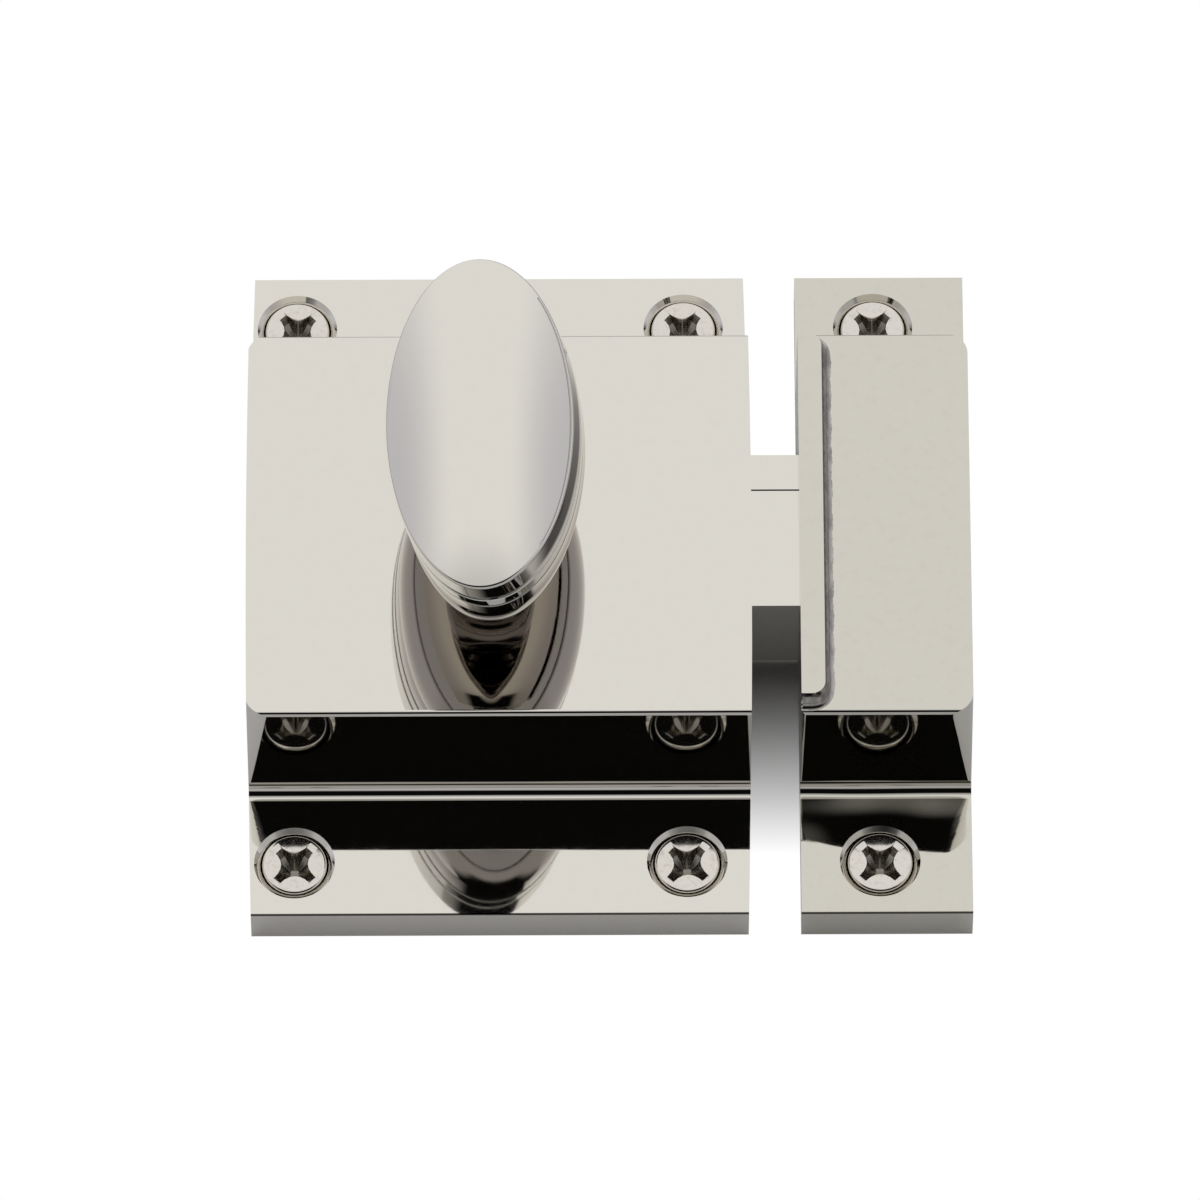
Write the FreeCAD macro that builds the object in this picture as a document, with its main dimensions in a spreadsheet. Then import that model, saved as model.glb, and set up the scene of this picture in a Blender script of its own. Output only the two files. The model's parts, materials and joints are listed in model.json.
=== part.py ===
# Cupboard catch latch: a turn-knob catch with its keeper, in millimetres.
#
# The case is screwed to a cupboard door and the keeper to the frame beside it. Turning the
# knob clockwise draws the spring bolt out of the keeper. The origin is where the spindle's
# axis meets the mounting plane. X runs from the case to the keeper, Y along the door's edge
# and Z out of the door.
import FreeCAD, Part
import math
import os
import Sketcher

os.makedirs("parts", exist_ok=True)
doc = FreeCAD.newDocument("cupboard_catch")
sheet = doc.addObject("Spreadsheet::Sheet", "Sizes")

# Driving sizes, in millimetres and degrees
SIZES = {
    # The section that the case and the keeper share
    "plate_length": 74.1,
    "plate_thickness": 4.4,
    "box_height": 18.6,
    "box_length": 44.0,
    "wall": 1.6,
    "roof": 1.5,
    "root_radius": 1.3,
    "wall_draft": 3.0,
    "edge_radius": 0.5,
    "corner_radius": 2.3,
    "corner_foot_radius": 0.35,
    "gap_corner_radius": 0.9,
    "gap_corner_foot_radius": 0.25,
    "keeper_gap_corner_radius": 0.45,
    "keeper_gap_corner_foot_radius": 0.15,
    # Case and keeper in plan
    "case_width": 50.8,
    "spindle_offset": 0.9,
    "side_bow": 0.45,
    "keeper_width": 17.2,
    "keeper_gap": 4.8,
    "lip_width": 2.4,
    "lip_height": 2.0,
    "lip_setback": 1.1,
    "lip_corner": 1.4,
    "lip_root": 0.55,
    # Back plate and its screws
    "back_plate_thickness": 1.2,
    "back_plate_side_ledge": 0.7,
    "back_plate_end_ledge": 4.5,
    "seat_clearance": 0.1,
    "small_screw_radius": 0.9,
    "small_head_radius": 1.6,
    "small_head_depth": 0.8,
    "small_screw_length": 3.2,
    "small_screw_inset": 8.0,
    "small_slot_width": 0.45,
    "small_slot_depth": 0.4,
    # Wood screws and their holes
    "screw_span_wide": 39.4,
    "screw_end_distance": 5.95,
    "keeper_screw_shift": 0.65,
    "shank_radius": 1.75,
    "thread_radius": 1.5,
    "shank_clearance": 0.25,
    "sink_radius": 4.05,
    "sink_angle": 90.0,
    "head_radius": 3.25,
    "head_rim": 0.35,
    "head_drop": 0.25,
    "screw_below": 15.0,
    "screw_point": 4.0,
    "cross_length": 4.4,
    "cross_width": 1.0,
    "cross_depth": 1.7,
    "cross_angle": 45.0,
    # Bolt
    "bolt_width": 17.5,
    "bolt_thickness": 11.1,
    "bolt_projection": 11.2,
    "bolt_clearance": 0.15,
    "bevel_length": 4.8,
    "bevel_height": 8.0,
    "shoulder_width": 22.0,
    "shoulder_length": 7.4,
    "tail_width": 30.0,
    "tail_thickness": 3.0,
    "tail_reach": 8.0,
    "window_half": 5.6,
    "window_reach": 15.2,
    "guide_line_place": 4.6,
    "guide_line_width": 0.3,
    "guide_line_depth": 0.15,
    "mouth_clearance": 0.6,
    # Spindle, cam and drive pin
    "spindle_radius": 3.15,
    "spindle_square": 4.4,
    "running_clearance": 0.05,
    "fixed_clearance": 0.03,
    "spindle_reach": 12.4,
    "cam_lead": 30.0,
    "cam_arm": 9.6,
    "cam_arm_half_width": 3.2,
    "cam_thickness": 2.5,
    "cam_hub_radius": 5.0,
    "cam_lift": 0.3,
    "pin_radius": 2.0,
    "pin_slot_clearance": 0.2,
    "pin_end_clearance": 0.4,
    "thrust_washer_thickness": 0.9,
    "thrust_washer_radius": 6.0,
    "end_washer_thickness": 0.9,
    "end_washer_radius": 4.6,
    "end_screw_radius": 1.45,
    "end_screw_length": 5.5,
    "end_screw_head_radius": 2.6,
    "end_screw_head": 1.3,
    "axial_clearance": 0.08,
    # Spring and its rod
    "rod_radius": 1.2,
    "rod_place": 11.0,
    "rod_height": 9.0,
    "rod_let_in": 1.0,
    "rod_collar_radius": 2.2,
    "rod_collar": 1.0,
    "rod_reach": 1.5,
    "lug_place": 3.0,
    "lug_thickness": 3.0,
    "lug_half_width": 3.2,
    "lug_hole_clearance": 0.3,
    "wire_radius": 0.35,
    "coil_radius": 2.3,
    "coil_turns": 7.0,
    # Knob
    "knob_lift": 0.3,
    "foot_radius": 6.2,
    "foot_height": 1.2,
    "foot_taper": 2.6,
    "neck_radius": 4.0,
    "belt_top": 38.7,
    "belt_half_width": 9.65,
    "belt_half_length": 19.0,
    "upper_belt": 2.5,
    "belt_groove": 0.25,
    "groove_depth": 0.2,
    "lower_belt": 1.2,
    "dome_inset": 0.2,
    "dome_rise": 3.5,
    "bowl_inset": 0.35,
    "bowl_depth": 7.35,
    "bowl_round": 5.6,
    "set_screw_radius": 1.25,
    "set_screw_height": 5.6,
    # How far a cut runs past the material it takes
    "margin": 1.0,
}


# Sizes and the formulas made of them
class Size:
    """A size: its number now, and the sheet formula that keeps the model tied to it."""

    def __init__(self, number, formula):
        self.number = float(number)
        self.formula = formula

    def __add__(self, other):
        other = as_size(other)
        return Size(self.number + other.number, f"({self.formula} + {other.formula})")

    def __sub__(self, other):
        other = as_size(other)
        return Size(self.number - other.number, f"({self.formula} - {other.formula})")

    def __mul__(self, other):
        other = as_size(other)
        return Size(self.number * other.number, f"({self.formula} * {other.formula})")

    def __truediv__(self, other):
        other = as_size(other)
        return Size(self.number / other.number, f"({self.formula} / {other.formula})")

    def __neg__(self):
        return Size(-self.number, f"(-1 * {self.formula})")

    __radd__ = __add__
    __rmul__ = __mul__


def as_size(value):
    """A plain number as a Size."""
    return value if isinstance(value, Size) else Size(value, repr(float(value)))


def arc_sine(size):
    """The angle in degrees whose sine is a Size."""
    return Size(math.degrees(math.asin(size.number)), f"asin({size.formula})")


def sine(angle):
    """The sine of an angle in degrees."""
    return Size(math.sin(math.radians(angle.number)), f"sin({angle.formula})")


def cosine(angle):
    """The cosine of an angle in degrees."""
    return Size(math.cos(math.radians(angle.number)), f"cos({angle.formula})")


class Dimensions:
    """The driving sizes: each is a row of the sheet and an attribute here."""

    def __init__(self, sizes):
        for row, (name, number) in enumerate(sizes.items(), 1):
            sheet.set(f"A{row}", name)
            sheet.set(f"B{row}", str(number))
            sheet.setAlias(f"B{row}", name)
            setattr(self, name, Size(number, f"Sizes.{name}"))


dim = Dimensions(SIZES)
doc.recompute()

# Places worked out from the driving sizes
box_half = dim.box_length / 2
case_left = dim.spindle_offset - dim.case_width / 2
case_right = dim.spindle_offset + dim.case_width / 2
keeper_left = case_right + dim.keeper_gap
keeper_right = keeper_left + dim.keeper_width
roof_underside = dim.box_height - dim.roof
bolt_top = roof_underside - dim.bolt_clearance
bolt_bottom = bolt_top - dim.bolt_thickness
bolt_tip = case_right + dim.bolt_projection
shoulder_stop = case_right - dim.wall - dim.seat_clearance
shoulder_back = shoulder_stop - dim.shoulder_length
tail_bottom = dim.back_plate_thickness + dim.bolt_clearance
tail_top = tail_bottom + dim.tail_thickness
cam_bottom = tail_top + dim.cam_lift
cam_top = cam_bottom + dim.cam_thickness
washer_bottom = roof_underside - dim.axial_clearance - dim.thrust_washer_thickness
hub_top = washer_bottom - dim.axial_clearance
screw_top = dim.plate_thickness - dim.head_drop
knob_bottom = dim.box_height + dim.knob_lift
pocket_half = box_half - dim.wall


# Sketches and features
def plane_of(body, role):
    """The body's own origin plane with this role."""
    return next(item for item in body.Origin.OriginFeatures if item.Role == role)


def attached_sketch(body, name, role, lift):
    """An empty sketch on one of the body's origin planes, raised along the plane's normal."""
    sketch = body.newObject("Sketcher::SketchObject", name)
    sketch.AttachmentSupport = [(plane_of(body, role), "")]
    sketch.MapMode = "FlatFace"
    sketch.AttachmentOffset = FreeCAD.Placement(
        FreeCAD.Vector(0, 0, as_size(lift).number), FreeCAD.Rotation()
    )
    sketch.setExpression("AttachmentOffset.Base.z", as_size(lift).formula)
    return sketch


def tie(sketch, kind, *places_and_size):
    """A dimension whose value follows its size."""
    *places, size = places_and_size
    index = sketch.addConstraint(Sketcher.Constraint(kind, *places, size.number))
    sketch.setExpression(f"Constraints[{index}]", size.formula)


def arc_centre(start, end, radius, turn):
    """Centre of the short arc from start to end that turns left (1) or right (-1)."""
    chord = end - start
    rise = math.sqrt(max(radius**2 - (chord.Length / 2) ** 2, 0.0))
    left = FreeCAD.Vector(-chord.y, chord.x, 0).normalize()
    return start + chord / 2 + left * (turn * rise)


def add_outline(sketch, corners):
    """Add a closed outline. Each corner is (x, y), or (x, y, radius, turn) where an arc follows."""
    corners = [tuple(as_size(value) for value in corner[:3]) + corner[3:] for corner in corners]
    points = [FreeCAD.Vector(c[0].number, c[1].number, 0) for c in corners]
    ends = []
    for index, corner in enumerate(corners):
        start, end = points[index], points[(index + 1) % len(points)]
        if len(corner) == 2:
            edge = sketch.addGeometry(Part.LineSegment(start, end), False)
            ends.append((edge, 1, 2))
            continue
        radius, turn = corner[2], corner[3]
        centre = arc_centre(start, end, radius.number, turn)
        first, last = (start, end) if turn > 0 else (end, start)
        angles = [math.atan2(p.y - centre.y, p.x - centre.x) for p in (first, last)]
        circle = Part.Circle(centre, FreeCAD.Vector(0, 0, 1), radius.number)
        edge = sketch.addGeometry(Part.ArcOfCircle(circle, *angles), False)
        ends.append((edge, 1, 2) if turn > 0 else (edge, 2, 1))
        tie(sketch, "Radius", edge, radius)
    for index, corner in enumerate(corners):
        edge, start_end, _ = ends[index]
        before, _, far_end = ends[index - 1]
        sketch.addConstraint(Sketcher.Constraint("Coincident", before, far_end, edge, start_end))
        tie(sketch, "DistanceX", -1, 1, edge, start_end, corner[0])
        tie(sketch, "DistanceY", -1, 1, edge, start_end, corner[1])


def add_circle(sketch, x, y, radius):
    """Add a circle whose centre and radius follow their sizes."""
    x, y, radius = as_size(x), as_size(y), as_size(radius)
    centre = FreeCAD.Vector(x.number, y.number, 0)
    edge = sketch.addGeometry(Part.Circle(centre, FreeCAD.Vector(0, 0, 1), radius.number), False)
    tie(sketch, "Radius", edge, radius)
    tie(sketch, "DistanceX", -1, 1, edge, 3, x)
    tie(sketch, "DistanceY", -1, 1, edge, 3, y)


def rectangle(left, right, low, high):
    """Corners of a rectangle, anticlockwise."""
    return [(left, low), (right, low), (right, high), (left, high)]


def outline_sketch(body, name, role, outlines, lift=0):
    """A sketch that holds one or more closed outlines."""
    sketch = attached_sketch(body, name, role, lift)
    for outline in outlines:
        add_outline(sketch, outline)
    return sketch


def circle_sketch(body, name, role, circles, lift=0):
    """A sketch that holds circles, each given as (x, y, radius)."""
    sketch = attached_sketch(body, name, role, lift)
    for circle in circles:
        add_circle(sketch, *circle)
    return sketch


def pad(body, sketch, length, midplane=False):
    """Material from the sketch along its normal, or both ways from it."""
    feature = body.newObject("PartDesign::Pad", f"{sketch.Name}_pad")
    feature.Profile = sketch
    feature.Midplane = midplane
    feature.Length = as_size(length).number
    feature.setExpression("Length", as_size(length).formula)
    return feature


def pocket(body, sketch, depth, along_normal=False, midplane=False):
    """A cut from the sketch against its normal, along it, or both ways. It must take something."""
    doc.recompute()
    before = body.Shape.Volume
    feature = body.newObject("PartDesign::Pocket", f"{sketch.Name}_cut")
    feature.Profile = sketch
    feature.Reversed = along_normal
    feature.Midplane = midplane
    feature.Length = as_size(depth).number
    feature.setExpression("Length", as_size(depth).formula)
    doc.recompute()
    if body.Shape.Volume >= before:
        raise RuntimeError(f"{feature.Name} cuts nothing")
    return feature


def revolve(body, sketch):
    """A full turn of the sketch about its vertical axis."""
    feature = body.newObject("PartDesign::Revolution", f"{sketch.Name}_turned")
    feature.Profile = sketch
    feature.ReferenceAxis = (sketch, ["V_Axis"])
    feature.Angle = 360
    return feature


def new_body(label):
    """A body that is one sub-part."""
    body = doc.addObject("PartDesign::Body", label)
    body.Label = label
    return body


def stand_at(body, x, y, z, angle=0):
    """Move a sub-part's own origin to a place, turned about Z."""
    body.Placement = FreeCAD.Placement(
        FreeCAD.Vector(as_size(x).number, as_size(y).number, as_size(z).number),
        FreeCAD.Rotation(FreeCAD.Vector(0, 0, 1), as_size(angle).number),
    )
    for axis, size in (("x", x), ("y", y), ("z", z)):
        body.setExpression(f"Placement.Base.{axis}", as_size(size).formula)
    if as_size(angle).number:
        body.setExpression("Placement.Rotation.Angle", as_size(angle).formula)


# The section shared by the case and the keeper: flange, cove, drafted wall, rounded edge and top
lean = sine(dim.wall_draft)
upright_share = cosine(dim.wall_draft)
cove_top = dim.plate_thickness + dim.root_radius - dim.root_radius * lean
edge_bottom = dim.box_height - dim.edge_radius + dim.edge_radius * lean


def wall_face(z):
    """How far the front or the rear wall's face lies from the middle, at a height."""
    return box_half + (dim.box_height - z) * lean / upright_share


def section(body, left, right):
    """Carry the cross-section, drawn in Y and Z, from left to right."""
    end = dim.plate_length / 2
    cove = wall_face(cove_top) + dim.root_radius * upright_share
    flat = wall_face(edge_bottom) - dim.edge_radius * upright_share
    corners = [
        (-end, 0),
        (end, 0),
        (end, dim.plate_thickness),
        (cove, dim.plate_thickness, dim.root_radius, -1),
        (wall_face(cove_top), cove_top),
        (wall_face(edge_bottom), edge_bottom, dim.edge_radius, 1),
        (flat, dim.box_height),
        (-flat, dim.box_height, dim.edge_radius, 1),
        (-wall_face(edge_bottom), edge_bottom),
        (-wall_face(cove_top), cove_top, dim.root_radius, -1),
        (-cove, dim.plate_thickness),
        (-end, dim.plate_thickness),
    ]
    sketch = outline_sketch(body, f"{body.Name}_section", "YZ_Plane", [corners], left)
    pad(body, sketch, right - left)


def round_corners(body, side, towards, name, top_radius, foot_radius):
    """Round two upright corners of the box: more at the top, almost none at the foot.

    side is the X of the wall, and towards is 1 where the body lies on its right, or -1.
    """
    outlines = []
    for end, lift, radius in (("foot", cove_top, foot_radius), ("top", dim.box_height, top_radius)):
        face = wall_face(lift)
        outer = side - dim.margin * towards
        inner = side + radius * towards
        corners = [
            (side, face - radius),
            (outer, face - radius),
            (outer, face + dim.margin),
            (inner, face + dim.margin),
            (inner, face, radius, towards),
        ]
        outlines.append(
            outline_sketch(body, f"{body.Name}_{name}_corner_{end}", "XY_Plane", [corners], lift)
        )
    doc.recompute()
    before = body.Shape.Volume
    loft = body.newObject("PartDesign::SubtractiveLoft", f"{body.Name}_{name}_corner")
    loft.Profile = outlines[0]
    loft.Sections = [outlines[1]]
    loft.Ruled = True
    mirror = body.newObject("PartDesign::Mirrored", f"{body.Name}_{name}_corners")
    mirror.Originals = [loft]
    mirror.MirrorPlane = (plane_of(body, "XZ_Plane"), [""])
    body.Tip = mirror
    doc.recompute()
    if body.Shape.Volume >= before:
        raise RuntimeError(f"{body.Name} keeps its sharp corners on the {name}")


def countersunk_holes(body, places):
    """Screw holes through the flange, sunk from its front."""
    holes = [(x, y, dim.shank_radius + dim.shank_clearance) for x, y in places]
    sketch = circle_sketch(body, f"{body.Name}_holes", "XY_Plane", holes, dim.plate_thickness)
    doc.recompute()
    hole = body.newObject("PartDesign::Hole", f"{body.Name}_countersinks")
    hole.Profile = sketch
    hole.Threaded = False
    hole.DepthType = "ThroughAll"
    hole.Diameter = 2 * (dim.shank_radius + dim.shank_clearance).number
    hole.setExpression("Diameter", (2 * (dim.shank_radius + dim.shank_clearance)).formula)
    hole.HoleCutType = "Countersink"
    hole.HoleCutCustomValues = True
    hole.HoleCutDiameter = 2 * dim.sink_radius.number
    hole.setExpression("HoleCutDiameter", (2 * dim.sink_radius).formula)
    hole.HoleCutCountersinkAngle = dim.sink_angle.number
    hole.setExpression("HoleCutCountersinkAngle", dim.sink_angle.formula)
    doc.recompute()


screw_half_span = dim.plate_length / 2 - dim.screw_end_distance
case_screw_places = [
    (x * dim.screw_span_wide / 2, y * screw_half_span) for x in (-1, 1) for y in (-1, 1)
]
keeper_screw_x = (keeper_left + keeper_right) / 2 - dim.keeper_screw_shift
keeper_screw_places = [(keeper_screw_x, y * screw_half_span) for y in (-1, 1)]
plate_left = case_left + dim.wall - dim.back_plate_side_ledge
plate_right = case_right - dim.wall + dim.back_plate_side_ledge
plate_half = pocket_half + dim.back_plate_end_ledge
small_screw_y = plate_half - dim.back_plate_end_ledge / 2
small_screw_places = [
    (x, y * small_screw_y)
    for x in (plate_left + dim.small_screw_inset, plate_right - dim.small_screw_inset)
    for y in (-1, 1)
]


def build_case():
    """The case: section, bowed sides, rounded corners, then its hollow, holes and openings."""
    body = new_body("case")
    section(body, case_left, case_right)
    end = dim.plate_length / 2
    bow_radius = (end * end + dim.side_bow * dim.side_bow) / (2 * dim.side_bow)
    outlines = []
    for side, towards in ((case_left, 1), (case_right, -1)):
        inner = side + dim.side_bow * towards
        outer = side - dim.margin * towards
        outlines.append([
            (inner, end, bow_radius, towards),
            (inner, -end),
            (outer, -end - dim.margin),
            (outer, end + dim.margin),
        ])
    sides = outline_sketch(body, "case_sides", "XY_Plane", outlines)
    pocket(body, sides, dim.box_height + dim.margin, along_normal=True)
    round_corners(body, case_left, 1, "left", dim.corner_radius, dim.corner_foot_radius)
    round_corners(body, case_right, -1, "right", dim.gap_corner_radius, dim.gap_corner_foot_radius)
    countersunk_holes(body, case_screw_places)
    hollow = rectangle(case_left + dim.wall, case_right - dim.wall, -pocket_half, pocket_half)
    pocket(body, outline_sketch(body, "case_hollow", "XY_Plane", [hollow]), roof_underside, True)
    rebate = rectangle(plate_left, plate_right, -plate_half, plate_half)
    rebate_sketch = outline_sketch(body, "case_rebate", "XY_Plane", [rebate])
    pocket(body, rebate_sketch, dim.back_plate_thickness, True)
    taps = [(x, y, dim.small_screw_radius + dim.fixed_clearance) for x, y in small_screw_places]
    tap_sketch = circle_sketch(body, "case_taps", "XY_Plane", taps)
    pocket(body, tap_sketch, dim.small_screw_length + dim.seat_clearance, True)
    bore = [(0, 0, dim.spindle_radius + dim.running_clearance)]
    bore_sketch = circle_sketch(body, "case_bore", "XY_Plane", bore, dim.box_height)
    pocket(body, bore_sketch, dim.roof + dim.margin)
    half = dim.bolt_width / 2 + dim.bolt_clearance
    slot = rectangle(-half, half, bolt_bottom - dim.bolt_clearance, roof_underside)
    slot_sketch = outline_sketch(body, "case_slot", "YZ_Plane", [slot], case_right + dim.margin)
    pocket(body, slot_sketch, dim.wall + 2 * dim.margin)
    rod_hole = circle_sketch(
        body,
        "case_rod_hole",
        "YZ_Plane",
        [(dim.rod_place, dim.rod_height, dim.rod_radius + dim.fixed_clearance)],
        case_left + dim.wall,
    )
    pocket(body, rod_hole, dim.rod_let_in + dim.seat_clearance)


def build_keeper():
    """The keeper: the same section, hollow, with a mouth for the bolt and a lip beside it."""
    body = new_body("keeper")
    section(body, keeper_left, keeper_right)
    round_corners(body, keeper_right, -1, "right", dim.corner_radius, dim.corner_foot_radius)
    near_radii = dim.keeper_gap_corner_radius, dim.keeper_gap_corner_foot_radius
    round_corners(body, keeper_left, 1, "left", *near_radii)
    countersunk_holes(body, keeper_screw_places)
    half = box_half - dim.lip_setback
    right = keeper_left + dim.lip_width
    lip = [
        (keeper_left, -half),
        (right - dim.lip_corner, -half, dim.lip_corner, 1),
        (right, dim.lip_corner - half),
        (right, half - dim.lip_corner, dim.lip_corner, 1),
        (right - dim.lip_corner, half),
        (keeper_left, half),
    ]
    start = roof_underside
    lip_sketch = outline_sketch(body, "keeper_lip", "XY_Plane", [lip], start)
    pad(body, lip_sketch, dim.roof + dim.lip_height)
    doc.recompute()
    foot_edges = [
        f"Edge{number}"
        for number, edge in enumerate(body.Shape.Edges, 1)
        if at_lip_foot(edge.CenterOfMass, half.number)
    ]
    lip_base = body.Tip
    fillet = body.newObject("PartDesign::Fillet", "keeper_lip_root")
    fillet.Base = (lip_base, foot_edges)
    fillet.Radius = dim.lip_root.number
    fillet.setExpression("Radius", dim.lip_root.formula)
    hollow = rectangle(keeper_left + dim.wall, keeper_right - dim.wall, -pocket_half, pocket_half)
    pocket(body, outline_sketch(body, "keeper_hollow", "XY_Plane", [hollow]), roof_underside, True)
    mouth_half = dim.bolt_width / 2 + dim.mouth_clearance
    mouth = rectangle(-mouth_half, mouth_half, bolt_bottom - dim.mouth_clearance, roof_underside)
    mouth_sketch = outline_sketch(body, "keeper_mouth", "YZ_Plane", [mouth], keeper_left - dim.margin)
    pocket(body, mouth_sketch, dim.wall + 2 * dim.margin, True)


def at_lip_foot(point, half):
    """Whether an edge's middle is on the keeper's top, around the lip but not on its outer side."""
    tolerance = 0.01
    on_top = abs(point.z - dim.box_height.number) < tolerance
    inside = keeper_left.number + tolerance < point.x < (keeper_left + dim.lip_width).number + tolerance
    return on_top and inside and abs(point.y) < half + tolerance


def build_back_plate():
    """The cover let into the back of the case, with countersunk holes for its small screws."""
    body = new_body("back_plate")
    outline = rectangle(
        plate_left + dim.seat_clearance,
        plate_right - dim.seat_clearance,
        dim.seat_clearance - plate_half,
        plate_half - dim.seat_clearance,
    )
    sketch = outline_sketch(body, "back_plate_outline", "XY_Plane", [outline])
    pad(body, sketch, dim.back_plate_thickness - dim.fixed_clearance)
    through = [(x, y, dim.small_screw_radius + dim.seat_clearance) for x, y in small_screw_places]
    holes = circle_sketch(body, "back_plate_holes", "XY_Plane", through)
    pocket(body, holes, dim.back_plate_thickness, True)
    wide = [(x, y, dim.small_head_radius + dim.seat_clearance) for x, y in small_screw_places]
    seats = circle_sketch(body, "back_plate_seats", "XY_Plane", wide)
    pocket(body, seats, dim.small_head_depth, True)


def build_small_screws():
    """The slotted machine screws of the back plate, heads flush with the mounting plane."""
    for number, (x, y) in enumerate(small_screw_places, 1):
        body = new_body(f"back_plate_screw_{number}")
        head = circle_sketch(body, f"small_head_{number}", "XY_Plane", [(0, 0, dim.small_head_radius)])
        pad(body, head, dim.small_head_depth - dim.fixed_clearance)
        shank = circle_sketch(
            body,
            f"small_shank_{number}",
            "XY_Plane",
            [(0, 0, dim.small_screw_radius)],
            dim.small_head_depth - dim.fixed_clearance,
        )
        pad(body, shank, dim.small_screw_length - dim.small_head_depth)
        half = dim.small_head_radius + dim.margin
        slot = rectangle(-half, half, -dim.small_slot_width / 2, dim.small_slot_width / 2)
        slot_sketch = outline_sketch(body, f"small_slot_{number}", "XY_Plane", [slot])
        pocket(body, slot_sketch, dim.small_slot_depth, True)
        stand_at(body, x, y, 0)


def build_wood_screw(label, x, y):
    """A countersunk wood screw: turned outline, then the cross recess in its head.

    Behind the flange it has the mean radius of its thread.
    """
    body = new_body(label)
    cone = dim.head_radius - dim.shank_radius
    outline = [
        (0, -dim.screw_below),
        (dim.thread_radius, dim.screw_point - dim.screw_below),
        (dim.thread_radius, 0),
        (dim.shank_radius, 0),
        (dim.shank_radius, screw_top - dim.head_rim - cone),
        (dim.head_radius, screw_top - dim.head_rim),
        (dim.head_radius, screw_top),
        (0, screw_top),
    ]
    revolve(body, outline_sketch(body, f"{label}_outline", "XZ_Plane", [outline]))
    arm, side = dim.cross_length / 2, dim.cross_width / 2
    cross = [
        (side, -arm), (side, -side), (arm, -side), (arm, side), (side, side), (side, arm),
        (-side, arm), (-side, side), (-arm, side), (-arm, -side), (-side, -side), (-side, -arm),
    ]
    recess = outline_sketch(body, f"{label}_cross", "XY_Plane", [cross], screw_top)
    pocket(body, recess, dim.cross_depth)
    stand_at(body, x, y, 0, dim.cross_angle)


def build_bolt():
    """The latch bolt: nose, stop shoulder, tail plate with its windows, and the spring lug."""
    body = new_body("bolt")
    half = dim.bolt_width / 2
    nose = rectangle(shoulder_back, bolt_tip, -half, half)
    pad(body, outline_sketch(body, "bolt_nose", "XY_Plane", [nose], bolt_bottom), dim.bolt_thickness)
    shoulder = rectangle(shoulder_back, shoulder_stop, -dim.shoulder_width / 2, dim.shoulder_width / 2)
    shoulder_sketch = outline_sketch(body, "bolt_shoulder", "XY_Plane", [shoulder], tail_bottom)
    pad(body, shoulder_sketch, bolt_top - tail_bottom)
    tail = rectangle(-dim.tail_reach, shoulder_stop, -dim.tail_width / 2, dim.tail_width / 2)
    pad(body, outline_sketch(body, "bolt_tail", "XY_Plane", [tail], tail_bottom), dim.tail_thickness)
    lug = rectangle(
        -dim.lug_place - dim.lug_thickness,
        -dim.lug_place,
        dim.rod_place - dim.lug_half_width,
        dim.rod_place + dim.lug_half_width,
    )
    lug_sketch = outline_sketch(body, "bolt_lug", "XY_Plane", [lug], tail_bottom)
    pad(body, lug_sketch, dim.rod_height + dim.lug_half_width - tail_bottom)
    window = rectangle(-dim.window_half, dim.window_reach, -dim.window_half, dim.window_half)
    window_sketch = outline_sketch(body, "bolt_window", "XY_Plane", [window], tail_bottom)
    pocket(body, window_sketch, dim.tail_thickness + dim.cam_lift, True)
    slot_half = dim.pin_radius + dim.pin_slot_clearance
    slot = rectangle(
        dim.cam_arm / 2 - slot_half,
        dim.cam_arm / 2 + slot_half,
        -dim.cam_arm - dim.pin_radius - dim.pin_end_clearance,
        -dim.window_half + dim.margin,
    )
    slot_sketch = outline_sketch(body, "bolt_pin_slot", "XY_Plane", [slot], tail_bottom)
    pocket(body, slot_sketch, dim.tail_thickness + dim.cam_lift, True)
    rod_hole = circle_sketch(
        body,
        "bolt_rod_hole",
        "YZ_Plane",
        [(dim.rod_place, dim.rod_height, dim.rod_radius + dim.lug_hole_clearance)],
        dim.margin - dim.lug_place,
    )
    pocket(body, rod_hole, dim.lug_thickness + 2 * dim.margin)
    bevel = [
        (bolt_tip - dim.bevel_length, bolt_bottom - dim.margin),
        (bolt_tip + dim.margin, bolt_bottom - dim.margin),
        (bolt_tip + dim.margin, bolt_bottom + dim.bevel_height),
        (bolt_tip, bolt_bottom + dim.bevel_height),
        (bolt_tip - dim.bevel_length, bolt_bottom),
    ]
    bevel_sketch = outline_sketch(body, "bolt_bevel", "XZ_Plane", [bevel])
    pocket(body, bevel_sketch, dim.bolt_width + 2 * dim.margin, midplane=True)
    line = rectangle(
        shoulder_stop + dim.margin,
        bolt_tip + dim.margin,
        dim.guide_line_place - dim.guide_line_width / 2,
        dim.guide_line_place + dim.guide_line_width / 2,
    )
    line_sketch = outline_sketch(body, "bolt_guide_line", "XY_Plane", [line], bolt_top)
    pocket(body, line_sketch, dim.guide_line_depth)


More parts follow.
